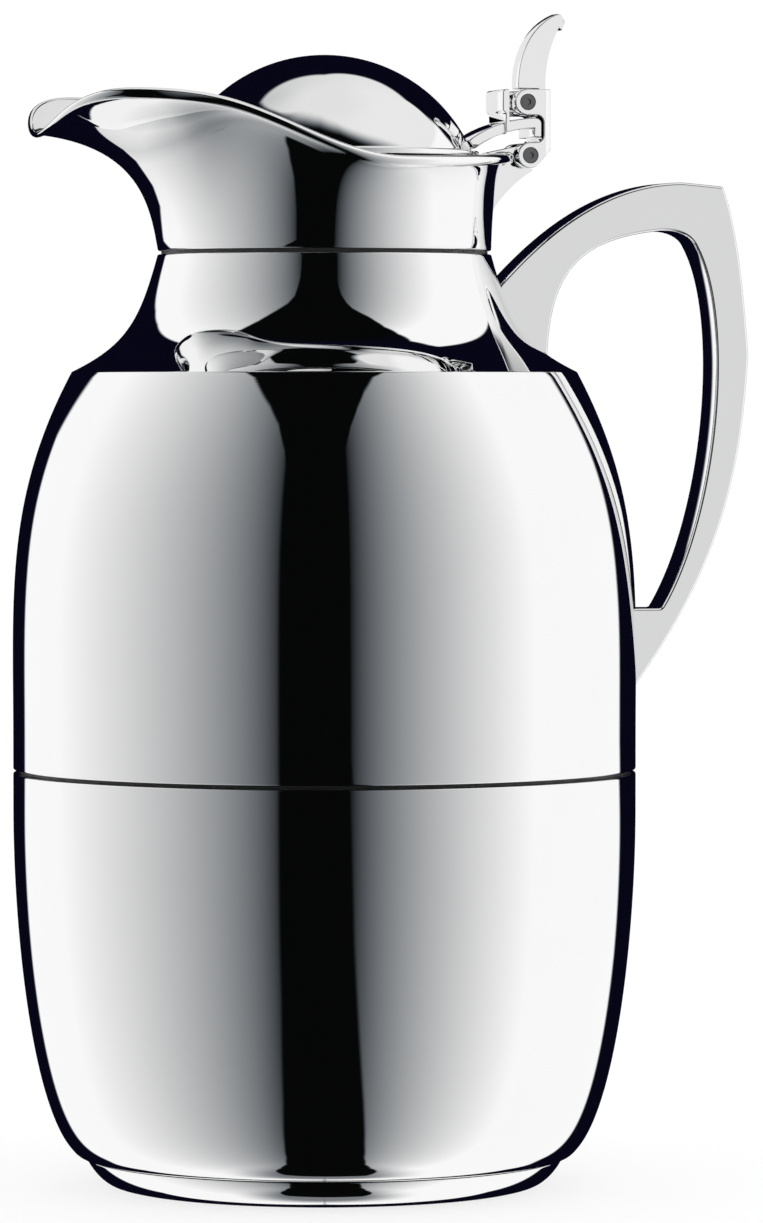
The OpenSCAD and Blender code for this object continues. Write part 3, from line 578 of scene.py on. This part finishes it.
def handle_loop():
    """The side outline, closed along the wall at both roots."""
    outer = [p for p in handle_outside() if p[0] > wall_x(p[1])]
    inner = [p for p in handle_inside() if p[0] > wall_x(p[1])]
    upper_root = along_wall(inner[0][1], outer[0][1])
    lower_root = along_wall(outer[-1][1], GRIP_FLOOR_Z)
    return outer + lower_root[1:] + inner[::-1] + upper_root[1:-1]


stand_in(prism("handle_bright", softened(handle_loop(), HANDLE_CORNER), HANDLE_W, HANDLE_ROUND),
         "handle")

# ---- hinge parts ----
for node in ("thumb_lever", "lid_arm", "hinge_bracket"):
    stand_in(eased(node), node)

# ---- camera: 15 degrees round from the side, looking down by 2, with a very long lens ----
VIEW_TURN = math.radians(15)
# In the photograph's pixels: its size, the lens, the column of the jug's axis, and the row of what
# lies as high as the camera
IMAGE_W, IMAGE_H, FOCAL = 763, 1223, 7000
AXIS_X, LEVEL_Y = 324.5, 370
PITCH = math.atan((IMAGE_H / 2 - LEVEL_Y) / FOCAL)
YAW = math.atan((IMAGE_W / 2 - AXIS_X) / FOCAL)
SENSOR = 36
# Metres from the jug's axis and above the table, and how far the camera sees
DISTANCE, EYE_Z, SIGHT = 1.484, 0.1728, 20

ahead = Vector((math.sin(VIEW_TURN), math.cos(VIEW_TURN), 0))
right = Vector((math.cos(VIEW_TURN), -math.sin(VIEW_TURN), 0))
level = ahead * math.cos(YAW) + right * math.sin(YAW)
look = level * math.cos(PITCH) - Vector((0, 0, 1)) * math.sin(PITCH)
camera = bpy.data.cameras.new("camera")
camera.lens = FOCAL / IMAGE_H * SENSOR
camera.sensor_width = SENSOR
camera.clip_end = SIGHT
camera_obj = bpy.data.objects.new("camera", camera)
camera_obj.location = (-DISTANCE * math.sin(VIEW_TURN), -DISTANCE * math.cos(VIEW_TURN), EYE_Z)
camera_obj.rotation_euler = look.to_track_quat("-Z", "Y").to_euler()
bpy.context.scene.collection.objects.link(camera_obj)
bpy.context.scene.camera = camera_obj

# ---- studio, seen in the reflections alone ----
# Two tall boxes of light stand beside the camera and reach far round and down to the floor, with
# darkness between and behind them, and a lamp hangs over the lid. Each group of pieces has them on
# a sphere of its own. Directions are in degrees: azimuth from the camera, positive to the
# photograph's right, and elevation from level. Sizes are in metres.
FLOOR_SIZE = 12.0
STUDIO_R, STUDIO_STEP, STUDIO_Z = 3.0, 0.1, 0.17
GRID, FINE_GRID = 1.0, 0.5

# The boxes grow brighter away from the camera: where that starts, over how far, and its power
LEFT_RAMP = (15.4, 98, 0.78)
RIGHT_RAMP = (9.0, 73, 0.88)
# How high they reach, by azimuth
TOPS = [(-180, 50), (-137, 53), (-110, 59), (-82, 60.3), (-70, 58.8), (-58, 56.5), (-48, 53.5),
        (-38, 50), (-28, 46), (-22, 42), (-17.5, 35.5), (-15, 28), (7.4, 29), (9.2, 36.5),
        (12.5, 42), (17, 46.5), (22, 50), (30, 53.2), (37, 55.5), (46, 59), (60, 63.2),
        (85, 66), (113, 65.4), (128, 60), (135, 56), (180, 50)]
# Their far edges, and their edges beside the camera, by elevation; low down the gap grows wide
LEFT_EDGE = [(-62, -180), (-54, -160), (-45, -146), (-10, -146), (0, -144), (11, -144.5),
             (20, -137), (28, -134), (90, -135)]
RIGHT_EDGE = [(-62, 180), (-54, 160), (-45, 145), (-10, 141.5), (0, 137.5), (11, 136),
              (28, 131), (50, 133), (90, 135)]
GAP_LEFT = [(-81, -80), (-72, -40), (-67, -28), (-60, -23), (-50, -20), (-35, -17),
            (-20, -15.4), (90, -15.4)]
GAP_RIGHT = [(-81, 90), (-72, 42), (-67, 30), (-60, 24), (-50, 20), (-35, 16), (-15, 10),
             (0, 7.6), (90, 7.6)]
# Where the floor under the jug grows dark, and how dark
DARK_FROM, DARK_TO, DARK = -66, -82, 0.22
# How the collar sees the boxes: turned round, with edges of its own, the gap closed on the floor,
# and dimmer low down
COLLAR_SHIFT = -2.5
COLLAR_EDGE = [(-90, -180), (-58, -180), (-54, -160), (-49, -138), (-42, -128), (-25, -124),
               (-15, -128), (-4, -143), (12, -146), (90, -137)]
COLLAR_GAP = [(-43, -41), (-25, -27), (-17, -22.5), (-11, -18.5), (-4, -15.4), (90, -15.4)]
COLLAR_FLOOR = -41
COLLAR_DIM = [(-78, 0.35), (-62, 0.85), (-50, 0.7), (-40, 0.87), (-8, 1.0)]
# The lamp over the lid: how bright it is, its lower edge and how softly that ends, by azimuth,
# and its even top
LAMP_LEVELS = [(-180, 0.76), (-121, 0.6), (-60, 0.78), (60, 0.86), (130, 0.86), (180, 0.76)]
LAMP_EDGE = [(-180, 61), (-120, 58), (-90, 65), (-60, 70), (-30, 71), (-6, 70), (19, 64),
             (56, 47.5), (90, 32), (128, 32), (136, 46), (150, 50), (180, 61)]
LAMP_SOFT = [(-80, 3), (-50, 14), (60, 14), (100, 3)]
LAMP_TOP, LAMP_TOP_FROM, LAMP_TOP_TO = 0.8, 62, 82
# How low the collar's lip sees the lamp behind it, and how high the lid sees the boxes
BEHIND_LIP = [(-180, 26), (-166, 28), (-161, 90), (161, 90), (166, 28), (180, 26)]
LOW_BOX = 36
# Light cards beside the flat sides of the handle and behind the lever: azimuths and elevations
CARD = (10, 52, -20, 24)
BACK_CARD = (-172, -125, -16, 30)
CARD_LEVEL, BACK_LEVEL = 0.72, 0.84
# How softly edges end: the boxes' tops and far edges, the gap, the cards, the collar's and the lid's
HIGH_SOFT, FAR_SOFT, GAP_SOFT, CARD_SOFT, COLLAR_SOFT, LOW_SOFT = 1.2, 2.5, 2, 2, 4, 8
# The darkest colour in front of the jug and behind it, from where to where it changes, and how
# much red, green and blue the dark greys lose
BLACK, NAVY = (0.0019, 0.0023, 0.0021), (0.0024, 0.0021, 0.0085)
NAVY_FROM, NAVY_TO = 60, 140
COOL = (0.24, 0.12, 0)


def between(table, x):
    """The table's value at x, in straight lines from point to point."""
    if x <= table[0][0]:
        return table[0][1]
    for (x0, y0), (x1, y1) in zip(table, table[1:]):
        if x <= x1:
            return y0 + (y1 - y0) * (x - x0) / (x1 - x0)
    return table[-1][1]


def inside(distance, soft):
    """0 to 1 across an edge that is soft degrees wide."""
    return smooth(distance / soft + 0.5)


def ramp(azimuth):
    """How bright a box is, from 0 beside the camera to 1."""
    start, width, power = RIGHT_RAMP if azimuth > 0 else LEFT_RAMP
    return min(1.0, max(0.0, abs(azimuth) - start) / width) ** power


def boxes(azimuth, elevation, left_edge=LEFT_EDGE):
    """Both boxes of light."""
    return (ramp(azimuth)
            * inside(between(TOPS, azimuth) - elevation, HIGH_SOFT)
            * inside(azimuth - between(left_edge, elevation), FAR_SOFT)
            * inside(between(RIGHT_EDGE, elevation) - azimuth, FAR_SOFT))


def beside_gap(azimuth, left, right):
    """0 in the gap between left and right, 1 on both sides of it."""
    return inside(max(azimuth - right, left - azimuth) - GAP_SOFT / 2, GAP_SOFT)


def body_light(azimuth, elevation):
    """The boxes, grown dark on the floor right under the jug."""
    under = inside(elevation - (DARK_FROM + DARK_TO) / 2, DARK_FROM - DARK_TO)
    return (boxes(azimuth, elevation) * (DARK + (1 - DARK) * under)
            * beside_gap(azimuth, between(GAP_LEFT, elevation), between(GAP_RIGHT, elevation)))


def lamp_light(azimuth, elevation, edge, soft):
    """The lamp over the lid, of one brightness round its top."""
    overhead = smooth((elevation - LAMP_TOP_FROM) / (LAMP_TOP_TO - LAMP_TOP_FROM))
    level = between(LAMP_LEVELS, azimuth) * (1 - overhead) + LAMP_TOP * overhead
    return level * inside(elevation - edge, soft)


def collar_light(azimuth, elevation):
    """The boxes turned round, and the lamp."""
    turned = azimuth - COLLAR_SHIFT
    gap = beside_gap(turned, between(COLLAR_GAP, elevation), GAP_RIGHT[-1][1])
    box = (boxes(turned, elevation, COLLAR_EDGE) * between(COLLAR_DIM, elevation)
           * max(gap, inside(COLLAR_FLOOR - elevation, COLLAR_SOFT)))
    edge = min(between(BEHIND_LIP, azimuth), between(LAMP_EDGE, azimuth))
    return max(box, lamp_light(azimuth, elevation, edge, COLLAR_SOFT))


def lid_light(azimuth, elevation):
    """The lamp, with the lower part of what the body sees."""
    lamp = lamp_light(azimuth, elevation, between(LAMP_EDGE, azimuth),
                      between(LAMP_SOFT, azimuth))
    return max(lamp, body_light(azimuth, elevation) * inside(LOW_BOX - elevation, LOW_SOFT))


def card(azimuth, elevation, edges, level):
    """A light card between its edges."""
    left, right, low, high = edges
    return level * inside(min(azimuth - left, right - azimuth, elevation - low,
                              high - elevation), CARD_SOFT)


def handle_light(azimuth, elevation):
    """What the lid sees, with a card beside the handle's flat side."""
    return max(card(azimuth, elevation, CARD, CARD_LEVEL), lid_light(azimuth, elevation))


def lever_light(azimuth, elevation):
    """What the lid sees, with cards beside and behind the lever."""
    return max(card(azimuth, elevation, CARD, BACK_LEVEL),
               card(azimuth, elevation, BACK_CARD, BACK_LEVEL), lid_light(azimuth, elevation))


def glow_colour(level, azimuth):
    """Light greys are neutral and dark ones cool; the dark behind the jug is a deep navy."""
    cool = (1 - level) ** 3
    navy = smooth((abs(azimuth) - NAVY_FROM) / (NAVY_TO - NAVY_FROM))
    dark = [b + (n - b) * navy for b, n in zip(BLACK, NAVY)]
    return [max(d, level * (1 - c * cool)) for d, c in zip(dark, COOL)] + [1.0]


def glow_material(name, clear):
    """Shines in the mesh's own colours; a clear one lets what is behind it through."""
    mat = bpy.data.materials.new(name)
    mat.use_nodes = True
    mat.cycles.emission_sampling = "NONE"
    tree = mat.node_tree
    tree.nodes.clear()
    paint = tree.nodes.new("ShaderNodeVertexColor")
    paint.layer_name = "glow"
    glow = tree.nodes.new("ShaderNodeEmission")
    out = tree.nodes.new("ShaderNodeOutputMaterial")
    tree.links.new(paint.outputs["Color"], glow.inputs["Color"])
    last = glow.outputs["Emission"]
    if clear:
        both = tree.nodes.new("ShaderNodeAddShader")
        tree.links.new(last, both.inputs[0])
        through = tree.nodes.new("ShaderNodeBsdfTransparent")
        tree.links.new(through.outputs["BSDF"], both.inputs[1])
        last = both.outputs["Shader"]
    tree.links.new(last, out.inputs["Surface"])
    return mat


def only_reflected(obj):
    """obj is part of the stage, and only reflections show it."""
    for sight in ("visible_camera", "visible_diffuse", "visible_shadow", "visible_transmission",
                  "visible_volume_scatter"):
        setattr(obj, sight, False)


def studio(name, light, radius, seen_by, grid, clear):
    """A sphere of light round the jug, of a brightness by direction, for some pieces only."""
    columns, rows = int(360 / grid), int(180 / grid)
    verts, colours = [], []
    for j in range(rows + 1):
        elevation = -90 + grid * j
        up, out = math.sin(math.radians(elevation)), math.cos(math.radians(elevation))
        for i in range(columns + 1):
            azimuth = -180 + grid * i
            a = math.radians(azimuth)
            way = -ahead * (math.cos(a) * out) + right * (math.sin(a) * out) + Vector((0, 0, up))
            verts.append(way * radius)
            colours += glow_colour(light(azimuth, elevation), azimuth)
    step = columns + 1
    faces = [(j * step + i, j * step + i + 1, (j + 1) * step + i + 1, (j + 1) * step + i)
             for j in range(rows) for i in range(columns)]
    mesh = bpy.data.meshes.new(name)
    mesh.from_pydata(verts, [], faces)
    mesh.color_attributes.new("glow", "FLOAT_COLOR", "POINT").data.foreach_set("color", colours)
    mesh.materials.append(glow_material(name, clear))
    obj = bpy.data.objects.new(name, mesh)
    obj.location = (0, 0, STUDIO_Z)
    bpy.context.scene.collection.objects.link(obj)
    receivers = bpy.data.collections.new(name + "_receivers")
    for piece in seen_by:
        receivers.objects.link(piece)
    obj.light_linking.receiver_collection = receivers
    only_reflected(obj)


SHADOW_SHOWN = 0.28
FLOOR_SHADES = (0.9, 0.9, 0.9), (0.915, 0.915, 0.915)
FLOOR_ROUGH = 0.85, 0.95
WHITE = (1, 1, 1, 1)


def floor():
    """Pale and matt, with only part of the shadow on it shown to the camera."""
    bpy.ops.mesh.primitive_plane_add(size=FLOOR_SIZE)
    obj = bpy.context.object
    obj.name = "floor"
    mat, tree, shader = nodes_of("pale_floor")
    speck = noise(tree, scale=30, detail=3)
    tree.links.new(tinted(tree, speck, *FLOOR_SHADES), shader.inputs["Base Color"])
    tree.links.new(spread(tree, speck, *FLOOR_ROUGH), shader.inputs["Roughness"])
    shader.inputs["Specular IOR Level"].default_value = 0.0
    path = tree.nodes.new("ShaderNodeLightPath")
    hidden = tree.nodes.new("ShaderNodeMath")
    hidden.operation = "MULTIPLY"
    tree.links.new(path.outputs["Is Camera Ray"], hidden.inputs[0])
    hidden.inputs[1].default_value = 1 - SHADOW_SHOWN
    white = tree.nodes.new("ShaderNodeEmission")
    white.inputs["Color"].default_value = WHITE
    both = tree.nodes.new("ShaderNodeMixShader")
    tree.links.new(hidden.outputs["Value"], both.inputs[0])
    tree.links.new(shader.outputs["BSDF"], both.inputs[1])
    tree.links.new(white.outputs["Emission"], both.inputs[2])
    out = next(n for n in tree.nodes if n.type == "OUTPUT_MATERIAL")
    tree.links.new(both.outputs["Shader"], out.inputs["Surface"])
    obj.data.materials.append(mat)
    obj.visible_glossy = False


SOFT_LIGHT = 1.25


def world():
    """White behind the jug, and an even soft light on everything."""
    sky = bpy.data.worlds.new("studio")
    bpy.context.scene.world = sky
    sky.use_nodes = True
    tree = sky.node_tree
    tree.nodes.clear()
    path = tree.nodes.new("ShaderNodeLightPath")
    seen = tree.nodes.new("ShaderNodeMath")
    seen.operation = "MAXIMUM"
    tree.links.new(path.outputs["Is Camera Ray"], seen.inputs[0])
    tree.links.new(path.outputs["Is Glossy Ray"], seen.inputs[1])
    strength = tree.nodes.new("ShaderNodeMix")
    strength.inputs["A"].default_value = SOFT_LIGHT
    strength.inputs["B"].default_value = 1.0
    tree.links.new(seen.outputs["Value"], strength.inputs["Factor"])
    back = tree.nodes.new("ShaderNodeBackground")
    back.inputs["Color"].default_value = WHITE
    out = tree.nodes.new("ShaderNodeOutputWorld")
    tree.links.new(strength.outputs["Result"], back.inputs["Strength"])
    tree.links.new(back.outputs["Background"], out.inputs["Surface"])


def light_groups():
    """Each light, the pieces that reflect it and how finely it is made, the body's outermost."""
    pieces = [o for o in bpy.context.scene.objects if o.type == "MESH"]
    lever = [o for o in pieces if o.get("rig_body") == "lever"
             or o.name in ("lid_arm_bright", "hinge_bracket_bright")]
    handle = [o for o in pieces if o.name.startswith("handle")]
    lid = [o for o in pieces if o.get("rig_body") == "lid" and o not in lever]
    collar = [o for o in pieces if o.name == "spout_collar_bright"]
    body = [o for o in pieces if o not in lever + handle + lid + collar]
    return ((lever_light, lever, GRID), (handle_light, handle, GRID), (lid_light, lid, GRID),
            (collar_light, collar, FINE_GRID), (body_light, body, FINE_GRID))


for i, (light, seen_by, grid) in enumerate(light_groups()):
    studio(light.__name__, light, STUDIO_R + STUDIO_STEP * i, seen_by, grid,
           clear=light is not body_light)
floor()
world()
bpy.context.scene.view_settings.view_transform = "Standard"
